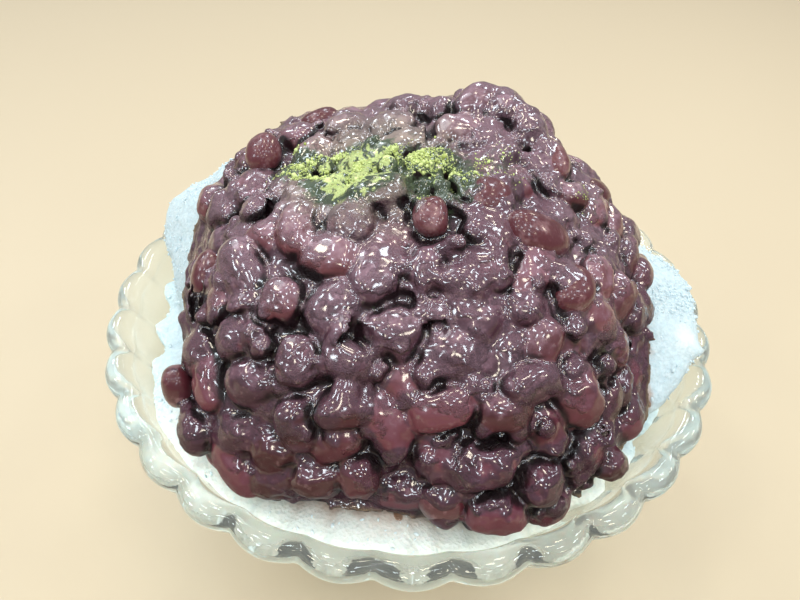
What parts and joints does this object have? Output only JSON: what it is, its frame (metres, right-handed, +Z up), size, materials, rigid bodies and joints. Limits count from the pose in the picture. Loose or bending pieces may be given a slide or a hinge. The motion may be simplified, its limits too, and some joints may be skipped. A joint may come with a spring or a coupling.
{
  "type": "bingsu in a glass bowl",
  "caption": "Shaved ice mounded in a scalloped clear glass bowl, covered with a glossy heap of sweet red beans and a patch of green tea powder.",
  "frame": {"origin": "centre of the bowl's foot, on the surface it stands on", "axes": "+Z up through the bowl's middle; the front of the serving, where the beans hang lowest, faces -Y"},
  "size_m": [0.1412, 0.1412, 0.1089],
  "materials": {
    "clear_glass": "clear pressed glass, faintly grey-green in its thick rim",
    "shaved_ice": "white, fluffy, faintly cold blue, wet near the rim",
    "red_beans": "wet, glossy purple-brown bean skins and paste"
  },
  "bodies": {
    "root": {"glass_bowl": "clear_glass", "shaved_ice": "shaved_ice", "red_beans": "red_beans"}
  },
  "joints": []
}
